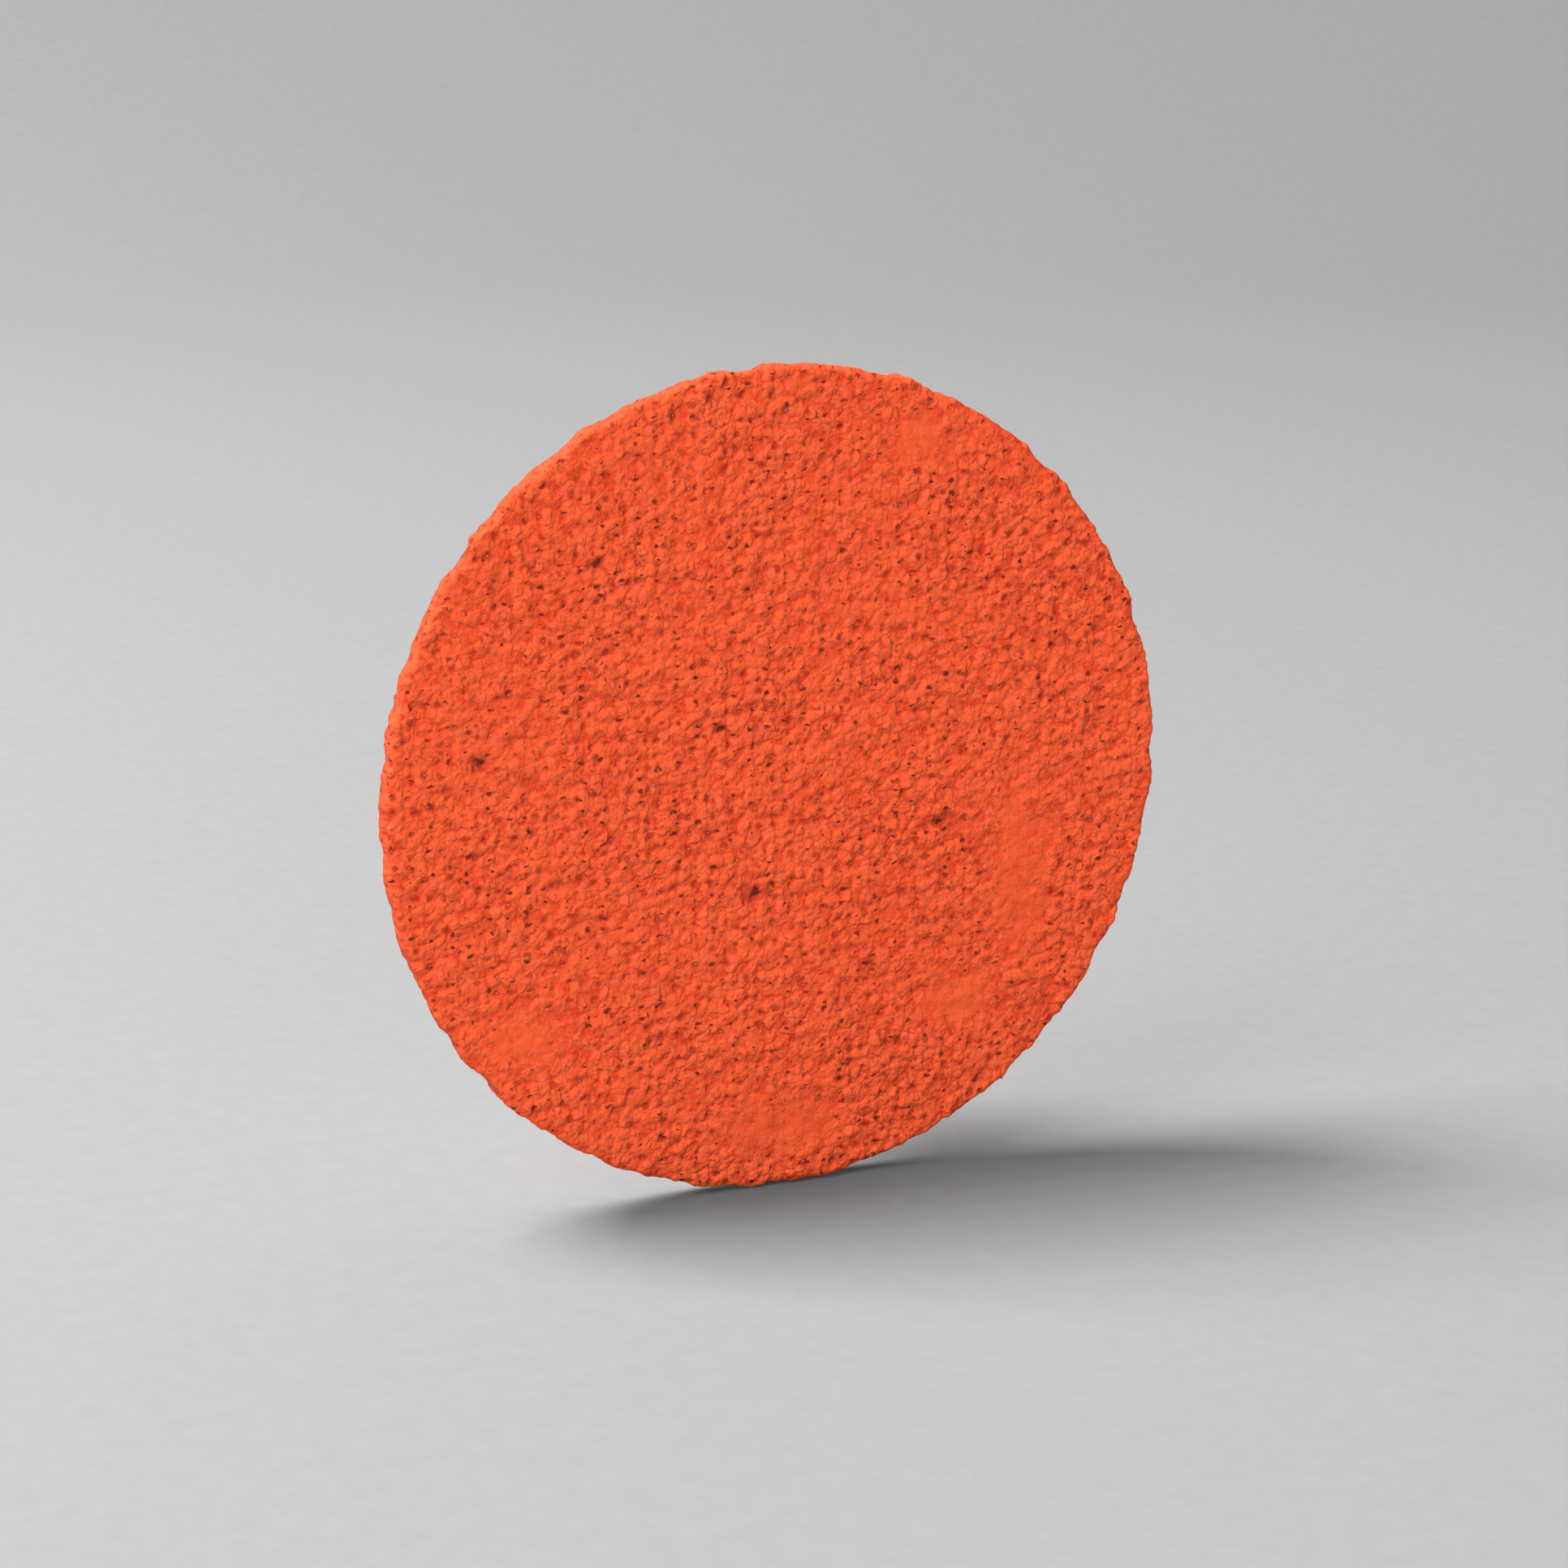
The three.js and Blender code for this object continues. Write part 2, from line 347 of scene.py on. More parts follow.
def relief_field(tree, laid, crease):
    """The coat's relief over the grain, at a point of the face laid out flat.

    Shape and colour both follow it. crease is how softly grains meet, from 0 to 1.
    """
    node = partial(add_node, tree)
    flat_cells = {"voronoi_dimensions": "2D"}
    flat_noise = {"noise_dimensions": "2D"}
    smooth = {"interpolation_type": "SMOOTHSTEP"}

    def bent(vector, pitch, reach):
        """Pushes points about, so that rounds turn irregular."""
        push = node("ShaderNodeTexNoise", {"Vector": vector, "Scale": 1 / pitch, "Detail": 2.0}, **flat_noise)
        push = node("ShaderNodeVectorMath", [push.outputs["Color"], (0.5, 0.5, 0.5)], operation="SUBTRACT")
        push = node("ShaderNodeVectorMath", {0: push, "Scale": reach}, operation="SCALE")
        return node("ShaderNodeVectorMath", [vector, push], operation="ADD")

    def spots(vector, pitch, share, smallest, largest, soft):
        """Rounds in a share of cells of that pitch: 1 in each one's middle, 0 past its own radius."""
        even = {"Vector": vector, "Scale": 1 / pitch, "Randomness": 0.8}
        cell = node("ShaderNodeTexVoronoi", even, **flat_cells)
        draw = node("ShaderNodeSeparateXYZ", [cell.outputs["Color"]]).outputs
        radius = node("ShaderNodeMapRange", [draw[1], 0.0, 1.0, smallest / pitch, largest / pitch])
        away = node("ShaderNodeMath", [cell, radius], operation="DIVIDE")
        mask = node("ShaderNodeMapRange", [away, 1.0, 1.0 - soft, 0.0, 1.0], **smooth)
        chosen = node("ShaderNodeMath", [draw[0], share], operation="LESS_THAN")
        return node("ShaderNodeMath", [mask, chosen], operation="MULTIPLY")

    def blobs(vector, places, soft):
        """Rounds at given places: centre across and up, half width and half height, in mm."""
        mask = None
        for across, up, half_width, half_height in places:
            shifted = node("ShaderNodeVectorMath", [vector, (across * MM, up * MM, 0)], operation="SUBTRACT")
            halves = (half_width * MM, half_height * MM, 1)
            shaped = node("ShaderNodeVectorMath", [shifted, halves], operation="DIVIDE")
            away = node("ShaderNodeVectorMath", [shaped], operation="LENGTH")
            blob = node("ShaderNodeMapRange", [away.outputs["Value"], 1 + soft, 1 - soft, 0.0, 1.0], **smooth)
            if mask is None:
                mask = blob
            else:
                mask = node("ShaderNodeMath", [mask, blob], operation="MAXIMUM")
        return mask

    def domes(vector, pitch, smoothness):
        """Rounded grains packed side by side, each with a height of its own."""
        packed = {"Vector": vector, "Scale": 1 / pitch}
        cell = node("ShaderNodeTexVoronoi", packed, feature="SMOOTH_F1", **flat_cells)
        cell.inputs["Smoothness"].default_value = smoothness
        near = node("ShaderNodeMath", [cell, 0.78], operation="DIVIDE")
        near = node("ShaderNodeMath", [near, 2.5], operation="POWER")
        dome = node("ShaderNodeMath", [1.0, near], operation="SUBTRACT", use_clamp=True)
        draw = node("ShaderNodeSeparateXYZ", [cell.outputs["Color"]]).outputs
        size = node("ShaderNodeMapRange", [draw[0], 0.1, 0.9, 0.25, 1.0])
        return node("ShaderNodeMath", [dome, size], operation="MULTIPLY")

    wavy = bent(laid, *GRAIN_BEND)
    grain = domes(wavy, GRAIN_PITCH, crease)
    fine = domes(wavy, FINE_PITCH, 0.35)
    lump = domes(bent(laid, *LUMP_BEND), LUMP_PITCH, crease)
    clumped = {"Vector": laid, "Scale": 1 / CLUMP_PITCH, "Detail": 1.5}
    clump = node("ShaderNodeTexNoise", clumped, **flat_noise)
    patched = {"Vector": laid, "Scale": 1 / PATCH_PITCH, "Detail": 1.0}
    patch = node("ShaderNodeTexNoise", patched, **flat_noise)
    pools = blobs(bent(laid, *POOL_BEND), POOLS, POOL_SOFTNESS)
    calm = node("ShaderNodeMapRange", [pools, 0.0, 1.0, 1.0, POOL_RELIEF])
    rough = node("ShaderNodeMapRange", [patch, 0.36, 0.64, 0.85, 1.12], **smooth)
    rough = node("ShaderNodeMath", [rough, calm], operation="MULTIPLY")

    ragged = bent(laid, *SPOT_BEND)
    dents = spots(ragged, **DENTS)
    dents = node("ShaderNodeMath", [dents, rough], operation="MULTIPLY", use_clamp=True)
    places = [(across, up, radius, PIT_FLATNESS * radius) for across, up, radius in PITS]
    pits = blobs(bent(laid, *PIT_BEND), places, PIT_SOFTNESS)
    # Pores, and the painted shadows of undercuts below the bumps, which are wider than they are high
    undercut = (1.0, UNDERCUT, 1.0)
    torn = node("ShaderNodeVectorMath", [bent(laid, *PORE_BEND), undercut], operation="MULTIPLY")
    pores_and_shade = spots(torn, **PORES)
    pores_and_shade = node("ShaderNodeMath", [pores_and_shade, rough], operation="MULTIPLY", use_clamp=True)
    pit_floors = node("ShaderNodeMapRange", [pits, 0.8, 1.0, 0.0, 1.0], **smooth)
    pores_and_shade = node("ShaderNodeMath", [pores_and_shade, pit_floors], operation="MAXIMUM")
    thin = spots(ragged, **THIN_COAT)
    thin = node("ShaderNodeMath", [thin, rough], operation="MULTIPLY", use_clamp=True)
    painted_glint = spots(laid, **PAINTED_GLINTS)
    return {
        "grain": grain, "lump": lump, "fine": fine, "clump": clump, "rough": rough,
        "dents": dents, "pits": pits, "pores_and_shade": pores_and_shade, "thin": thin, "painted_glint": painted_glint,
    }


def coat_relief_tree():
    """Raises the grain on the coat, along its normals."""
    tree, size = geometry_tree("coat relief", {
        "Grain height": GRAIN_HEIGHT, "Large grain height": LUMP_HEIGHT,
        "Clump height": CLUMP_HEIGHT, "Dent depth": DENT_DEPTH, "Pit depth": PIT_DEPTH,
    })
    node = partial(add_node, tree)
    laid = node("GeometryNodeInputNamedAttribute", {"Name": "laid"}, data_type="FLOAT_VECTOR")
    lift = node("GeometryNodeInputNamedAttribute", {"Name": "lift"}, data_type="FLOAT")
    field = relief_field(tree, laid, FACE_CREASE)
    grain = node("ShaderNodeMath", [field["grain"], GRAIN_LEVEL], operation="SUBTRACT")
    grain = node("ShaderNodeMath", [grain, field["rough"]], operation="MULTIPLY")
    lump = node("ShaderNodeMath", [field["lump"], LUMP_LEVEL], operation="SUBTRACT")
    lump = node("ShaderNodeMath", [lump, field["rough"]], operation="MULTIPLY")
    clump = node("ShaderNodeMath", [field["clump"], 0.5], operation="SUBTRACT")
    height = node("ShaderNodeMath", [grain, size["Grain height"]], operation="MULTIPLY")
    height = node("ShaderNodeMath", [lump, size["Large grain height"], height], operation="MULTIPLY_ADD")
    height = node("ShaderNodeMath", [clump, size["Clump height"], height], operation="MULTIPLY_ADD")
    dent = node("ShaderNodeMath", [field["dents"], size["Dent depth"]], operation="MULTIPLY")
    pit = node("ShaderNodeMath", [field["pits"], size["Pit depth"]], operation="MULTIPLY")
    height = node("ShaderNodeMath", [height, dent], operation="SUBTRACT")
    height = node("ShaderNodeMath", [height, pit], operation="SUBTRACT")
    height = node("ShaderNodeMath", [height, -DEEPEST], operation="MAXIMUM")
    height = node("ShaderNodeMath", [height, PROUDEST], operation="MINIMUM")
    height = node("ShaderNodeMath", [height, lift], operation="MULTIPLY")
    normal = node("GeometryNodeInputNormal")
    offset = node("ShaderNodeVectorMath", {0: normal, "Scale": height}, operation="SCALE")
    crest = node("GeometryNodeStoreNamedAttribute", {
        "Geometry": size["Geometry"], "Name": "grain", "Value": field["grain"],
    }, data_type="FLOAT", domain="POINT")
    moved = node("GeometryNodeSetPosition", {"Geometry": crest, "Offset": offset})
    return end_tree(tree, moved, supersize_resin())


def round_grid(squares):
    """A square grid bent into a unit disc with even squares: the points across and up, and the faces."""
    steps = np.linspace(-1, 1, squares + 1)
    a, b = np.meshgrid(steps, steps)
    wide = np.abs(a) > np.abs(b)
    radius = np.where(wide, a, b)
    safe = np.where(radius == 0, 1, radius)
    angle = np.where(wide, math.pi / 4 * b / safe, math.pi / 2 - math.pi / 4 * a / safe)
    row = squares + 1
    first = (np.arange(squares)[:, None] * row + np.arange(squares)).ravel()
    faces = np.stack([first, first + 1, first + row + 1, first + row], axis=1)
    return (radius * np.cos(angle)).ravel(), (radius * np.sin(angle)).ravel(), faces


def grid_border(squares):
    """The grid's outer points, in order round the disc."""
    row = squares + 1
    last = squares * row
    return [*range(squares), *range(squares, last + squares, row), *range(last + squares, last, -1),
            *range(last, 0, -row)]


def rim_rings():
    """Rings that carry the skin round the corner, over the rim and back inside.

    Each is its inset, its y and its share of the relief.
    """
    corner = [(-COAT_CORNER * (1 - math.sin(t)), FACE_Y + COAT_CORNER * (1 - math.cos(t)), EDGE_RELIEF)
              for t in np.linspace(0, math.pi / 2, 5)[1:]]
    wall = [(0.0, y, EDGE_RELIEF) for y in np.linspace(FACE_Y + COAT_CORNER, COAT_BACK_Y, 4)[1:]]
    inside = [(-COAT_THICKNESS, COAT_BACK_Y, 0.0), (-COAT_THICKNESS, GRAIN_FRONT_Y, 0.0)]
    return corner + wall + inside


def supersize_coat():
    """The orange-red coat: a closed skin over the face and the rim, raised into grain bumps."""
    rim_angles, rim_radii = cad_rim("supersize_coat")
    mean_radius = rim_radii.mean()
    x, z, faces = round_grid(FACE_GRID)
    share = np.hypot(x, z)
    angle = np.arctan2(x, z)
    rim = np.interp(angle, rim_angles, rim_radii, period=TURN)
    way = np.stack([np.sin(angle), np.zeros_like(angle), np.cos(angle)], axis=1)
    radius = share * (mean_radius - COAT_CORNER) + (rim - mean_radius) * share ** 8
    laid = way * radius[:, None]
    border = np.array(grid_border(FACE_GRID))
    border_way, border_rim = way[border], rim[border]

    all_points, all_laid, all_faces = [laid + (0, FACE_Y, 0)], [laid], [faces]
    all_lift = [EDGE_RELIEF + (1 - EDGE_RELIEF) * smooth_step((1 - share) / EDGE_BLEND)]
    unrolled = border_rim - COAT_CORNER
    before = (-COAT_CORNER, FACE_Y)
    ring, count = border, len(laid)
    for inset, y, lift in rim_rings():
        unrolled = unrolled + math.hypot(inset - before[0], y - before[1])
        before = (inset, y)
        all_points.append(border_way * (border_rim + inset)[:, None] + (0, y, 0))
        all_laid.append(border_way * unrolled[:, None])
        all_lift.append(np.full(len(border), lift))
        new_ring = np.arange(count, count + len(border))
        all_faces.append(np.stack([ring, np.roll(ring, -1), np.roll(new_ring, -1), new_ring], axis=1))
        ring, count = new_ring, count + len(border)
    all_points.append([[0, GRAIN_FRONT_Y, 0]])
    all_laid.append([[0, 0, 0]])
    all_lift.append([0])
    fan = np.stack([ring, np.roll(ring, -1), np.full_like(ring, count)], axis=1)
    piece = mesh_piece("supersize_coat_skin", np.concatenate(all_points),
                       np.concatenate(all_faces).tolist() + fan.tolist())
    laid = np.concatenate(all_laid)[:, [0, 2, 1]].astype(np.float32)
    piece.data.attributes.new("laid", "FLOAT_VECTOR", "POINT").data.foreach_set("vector", laid.ravel())
    lift = np.concatenate(all_lift).astype(np.float32)
    piece.data.attributes.new("lift", "FLOAT", "POINT").data.foreach_set("value", lift)
    apply_tree(piece, coat_relief_tree())
    piece.visible_diffuse = False    # the orange coat doesn't tint the paper
    return settle(piece, "supersize_coat", "supersize_coat")


# ---------------------------------------------------------------- grain tips through the coat

def grain_tips_tree():
    """Small broken crystals, sunk in the crests of the coat they are scattered on."""
    tree, size = geometry_tree("grain tips", {
        "Tips per square metre": TIPS_PER_MM2 / MM ** 2, "Tip size": TIP_SIZE,
        "Smallest crest": TIP_SMALLEST_CREST,
    })
    node = partial(add_node, tree)
    crest = node("GeometryNodeInputNamedAttribute", {"Name": "grain"}, data_type="FLOAT")
    crest_and_limit = [crest, size["Smallest crest"]]
    high = node("FunctionNodeCompare", crest_and_limit, operation="GREATER_THAN", data_type="FLOAT")
    facing = node("ShaderNodeSeparateXYZ", [node("GeometryNodeInputNormal")]).outputs[1]
    outward = node("FunctionNodeCompare", [facing, -0.3], operation="LESS_THAN", data_type="FLOAT")
    chosen = node("FunctionNodeBooleanMath", [high, outward], operation="AND")
    scatter = node("GeometryNodeDistributePointsOnFaces", {
        "Mesh": size["Geometry"], "Selection": chosen, "Density": size["Tips per square metre"],
        "Seed": TIP_SEED,
    })
    crystal = node("GeometryNodeMeshIcoSphere", {"Radius": size["Tip size"], "Subdivisions": 1})
    turn = node("FunctionNodeRandomValue", {0: (0, 0, 0), 1: (TURN, TURN, TURN), "Seed": TIP_SEED},
                data_type="FLOAT_VECTOR")
    stretch = node("FunctionNodeRandomValue", {0: (0.5, 0.5, 0.45), 1: (1.4, 1.1, 0.8), "Seed": TIP_SEED + 1},
                   data_type="FLOAT_VECTOR")
    placed = node("GeometryNodeInstanceOnPoints", {
        "Points": scatter, "Instance": crystal, "Rotation": turn, "Scale": stretch,
    })
    sunk = node("GeometryNodeTranslateInstances", {
        "Instances": placed, "Translation": (0, TIP_SINK * TIP_SIZE, 0), "Local Space": False,
    })
    return end_tree(tree, sunk, fused_grain())


def grain_tips(coat):
    """The bare crystal tips that stand out of the coat, faceted as crushed grain is."""
    piece = bpy.data.objects.new("grain_tips", coat.data.copy())
    bpy.context.scene.collection.objects.link(piece)
    apply_tree(piece, grain_tips_tree())
    piece.data.shade_flat()
    return settle(piece, "grain_coat")


# ---------------------------------------------------------------- fibre and bond

def fibre_backing():
    """The punched fibre disc, with a rounded rear edge and a felt-marked, slightly uneven back."""
    front_y, back_y = fibre_low.y, fibre_high.y
    rounding = arc(FIBRE_RADIUS - FIBRE_EDGE_ROUND, back_y - FIBRE_EDGE_ROUND, FIBRE_EDGE_ROUND, 0, 90, 6)
    front_edge = (FIBRE_RADIUS, front_y + FIBRE_BEVEL)
    profile = [(0, front_y), *line((0, front_y), (FIBRE_RADIUS - FIBRE_BEVEL, front_y), 12),
               front_edge, *line(front_edge, rounding[0], 4),
               *rounding[1:], *line(rounding[-1], (0, back_y), 60)]
    rng = np.random.default_rng(FIBRE_SEED)
    phases = rng.uniform(0, TURN, len(TEAR_WAVES))

    def shape(angle, radius, y):
        # Torn fibres leave the punched edge a little uneven
        edge = smooth_step((radius / FIBRE_RADIUS - 0.985) / 0.015)
        wave = sum(math.cos(phase) * np.sin(n * angle + phase) for n, phase in zip(TEAR_WAVES, phases))
        return radius + edge * TEAR_HEIGHT * wave, y

    piece = turned_piece("fibre_backing_disc", profile, FIBRE_SEGMENTS, shape)
    tree, size = geometry_tree("calendered back", {"Unevenness": 0.03 * MM, "Pitch": 2.2 * MM})
    node = partial(add_node, tree)
    per_metre = node("ShaderNodeMath", [1.0, size["Pitch"]], operation="DIVIDE")
    place = node("GeometryNodeInputPosition")
    noise = node("ShaderNodeTexNoise", {"Vector": place, "Scale": per_metre, "Detail": 3.0})
    sunk = node("ShaderNodeMath", [noise, 0.7], operation="SUBTRACT")
    depth = node("ShaderNodeMath", [sunk, size["Unevenness"]], operation="MULTIPLY")
    y = node("ShaderNodeSeparateXYZ", [place]).outputs[1]
    at_back = node("ShaderNodeMapRange", [y, back_y - FIBRE_EDGE_ROUND, back_y, 0.0, 1.0])
    depth = node("ShaderNodeMath", [depth, at_back], operation="MULTIPLY")
    offset = node("ShaderNodeCombineXYZ", {"Y": depth})
    moved = node("GeometryNodeSetPosition", {"Geometry": size["Geometry"], "Offset": offset})
    apply_tree(piece, end_tree(tree, moved, vulcanised_fibre()))
    return settle(piece, "vulcanised_fibre", "fibre_backing")


def bond_film():
    """The hot-melt layer, squeezed out unevenly round the flange with a hollow edge."""
    front_y, back_y = bond_low.y, bond_high.y
    middle_y, half = (front_y + back_y) / 2, (back_y - front_y) / 2
    hollow = [(BOND_RADIUS - half * 0.6 * math.cos(t), middle_y + half * math.sin(t))
              for t in np.linspace(-math.pi / 2, math.pi / 2, 9)]
    profile = [(0, front_y), *line((0, front_y), hollow[0], 8), *hollow[1:],
               *line(hollow[-1], (0, back_y), 8)]
    rng = np.random.default_rng(BOND_SEED)
    waves = [(n, rng.uniform(0, TURN), rng.uniform(0.1, 0.4)) for n in BOND_WAVES]

    def shape(angle, radius, y):
        edge = smooth_step((radius / BOND_RADIUS - 0.9) / 0.1)
        wave = sum(share * np.sin(n * angle + phase) for n, phase, share in waves)
        return radius + edge * BOND_EDGE_WAVE * (0.7 + wave), y

    piece = turned_piece("bond_film_squeeze", profile, BOND_SEGMENTS, shape)
    piece.data.materials.append(hot_melt())
    return settle(piece, "hot_melt_bond", "bond_film")


# ---------------------------------------------------------------- the nylon button

def thread_height(angle, y):
    """Height of the right-hand thread above the stud's root."""
    depth = THREAD_RADIUS - ROOT_RADIUS
    full_angle = THREAD_TURNS * TURN
    first_crest = -STUD_CHAMFER - THREAD_WIDTH / 2
    height = np.zeros_like(y)
    for lap in range(2):
        along = (2 * TURN - angle) % TURN + lap * TURN
        from_crest = np.abs(y - (first_crest - THREAD_PITCH * along / TURN)) / (THREAD_WIDTH / 2)
        flank = smooth_step((1 - from_crest) / THREAD_FLANK_SHARE)
        ends = smooth_step(along / THREAD_RUNOUT) * smooth_step((full_angle - along) / THREAD_RUNOUT)
        height = np.maximum(height, depth * flank * ends)
    return height


def button_profile():
    """The moulding's half section, from the flange's front over the stud to the boss's end."""
    front_y = button_low.y
    edge_centre = (FLANGE_RADIUS - FLANGE_ROUND, front_y + FLANGE_EDGE - FLANGE_ROUND)
    fillet_centre = (ROOT_RADIUS + STUD_FILLET, FLANGE_BACK_Y + STUD_FILLET)
    fillet = arc(*fillet_centre, STUD_FILLET, -90, -180, 8)
    edge = arc(*edge_centre, FLANGE_ROUND, 0, 90, 6)
    crest_r = ROOT_RADIUS - STUD_CHAMFER
    rim = arc(crest_r - EDGE_ROUND, -EDGE_ROUND, EDGE_ROUND, 35, 90, 3)
    mouth = arc(POCKET_RADIUS + EDGE_ROUND, -EDGE_ROUND, EDGE_ROUND, 90, 180, 3)
    outer_foot = arc(POCKET_RADIUS - POCKET_FILLET, POCKET_FLOOR_Y + POCKET_FILLET, POCKET_FILLET, 0, -90, 4)
    inner_foot = arc(BOSS_RADIUS + POCKET_FILLET, POCKET_FLOOR_Y + POCKET_FILLET, POCKET_FILLET, -90, -180, 4)
    boss = arc(BOSS_RADIUS - EDGE_ROUND, -EDGE_ROUND, EDGE_ROUND, 0, 90, 3)
    return [
        (0, front_y), *line((0, front_y), (FLANGE_RADIUS - 0.1 * MM, front_y), 6),
        (FLANGE_RADIUS, front_y + 0.1 * MM), *edge,
        *line(edge[-1], fillet[0], 30), *fillet[1:],
        *line(fillet[-1], (ROOT_RADIUS, -STUD_CHAMFER), 70),
        *line((ROOT_RADIUS, -STUD_CHAMFER), rim[0], 3), *rim[1:],
        *line(rim[-1], mouth[0], 2), *mouth[1:],
        *line(mouth[-1], outer_foot[0], 12), *outer_foot[1:],
        *line(outer_foot[-1], inner_foot[0], 4), *inner_foot[1:],
        *line(inner_foot[-1], boss[0], 12), *boss[1:],
        *line(boss[-1], (0, 0), 12),
    ]


def button_shape(angle, radius, y):
    """Adds the thread, the three ejector marks on the flange and the gate mark on the boss."""
    on_wall = (y > FLANGE_BACK_Y + STUD_FILLET) & (radius > ROOT_RADIUS - 0.01 * MM) & (y <= -STUD_CHAMFER)
    on_back = (radius > ROOT_RADIUS + STUD_FILLET) & (y > button_low.y + FLANGE_EDGE - 0.02 * MM)
    on_boss = (radius < BOSS_RADIUS) & (y > -EDGE_ROUND)
    for k in range(RIB_COUNT):
        turn = TURN * (k + 0.5) / RIB_COUNT
        away = np.hypot(radius * np.sin(angle) - EJECTOR_CIRCLE * math.sin(turn),
                        radius * np.cos(angle) - EJECTOR_CIRCLE * math.cos(turn))
        y = y - np.where(on_back, EJECTOR_DEPTH * smooth_step((EJECTOR_RADIUS - away) / EJECTOR_EDGE), 0)
    dish = GATE_DEPTH * smooth_step((GATE_RADIUS - radius) / GATE_EDGE)
    nib = NIB_HEIGHT * GATE_DEPTH * smooth_step((NIB_RADIUS - radius) / NIB_EDGE)
    y = y - np.where(on_boss, dish - nib, 0)
    return radius + np.where(on_wall, thread_height(angle, y), 0), y


def pocket_ribs():
    """Three ribs that bridge the pocket, from the boss to the stud's wall."""
    back, front = RIB_TOP_Y, POCKET_FLOOR_Y - RIB_SINK
    near, far = 0.6 * BOSS_RADIUS, POCKET_RADIUS + RIB_OVERLAP
    work = bmesh.new()
    bmesh.ops.create_cube(work, size=1.0)
    for vertex in work.verts:
        at_back, outside = vertex.co.y > 0, vertex.co.z > 0
        draft = 1.0 if at_back else RIB_DRAFT
        across = vertex.co.x * RIB_THICKNESS * draft
        vertex.co = (across, back if at_back else front, far if outside else near)
    top = [edge for edge in work.edges if all(v.co.y > back - 1e-6 for v in edge.verts)]
    bmesh.ops.bevel(work, geom=top, offset=RIB_ROUND, segments=3, affect="EDGES", profile=0.5)
    bmesh.ops.recalc_face_normals(work, faces=work.faces)
    mesh = bpy.data.meshes.new("rib")
    work.to_mesh(mesh)
    work.free()
    piece = bpy.data.objects.new("ribs", mesh)
    bpy.context.scene.collection.objects.link(piece)
    tree, size = geometry_tree("ribs round the boss", {"Ribs": RIB_COUNT})
    node = partial(add_node, tree)
    points = node("GeometryNodeMeshLine", {"Count": size["Ribs"], "Offset": (0, 0, 0)}, mode="OFFSET")
    index = node("GeometryNodeInputIndex")
    step = node("ShaderNodeMath", [TURN, size["Ribs"]], operation="DIVIDE")
    turn = node("ShaderNodeCombineXYZ", {"Y": node("ShaderNodeMath", [index, step], operation="MULTIPLY")})
    placed = node("GeometryNodeInstanceOnPoints", {
        "Points": points, "Instance": size["Geometry"], "Rotation": turn,
    })
    return apply_tree(piece, end_tree(tree, placed, moulded_nylon()))


def threaded_button():
    """The nylon moulding: flange, threaded stud, and a cored end with a boss and three ribs."""
    piece = turned_piece("threaded_button_moulding", button_profile(), BUTTON_SEGMENTS, button_shape)
    piece.data.materials.append(moulded_nylon())
    ribs = pocket_ribs()
    union = piece.modifiers.new("ribs", "BOOLEAN")
    union.operation = "UNION"
    union.solver = "EXACT"
    union.object = ribs
    graph = bpy.context.evaluated_depsgraph_get()
    joined = bpy.data.meshes.new_from_object(piece.evaluated_get(graph), depsgraph=graph)
    piece.modifiers.remove(union)
    piece.data = joined
    bpy.data.objects.remove(ribs)
    joined.shade_smooth()
    joined.set_sharp_from_angle(angle=math.radians(38))
    return settle(piece, "moulded_nylon", "threaded_button")


# ---------------------------------------------------------------- materials

def new_material(name, roughness, specular=0.5, ior=1.5):
    """A material with its shader's even settings, and what is needed to add nodes to it."""
    material = bpy.data.materials.new(name)
    material.use_nodes = True
    tree = material.node_tree
    shader = tree.nodes["Principled BSDF"]
    shader.inputs["Roughness"].default_value = roughness
    shader.inputs["Specular IOR Level"].default_value = specular
    shader.inputs["IOR"].default_value = ior
    return material, tree, shader, partial(add_node, tree)


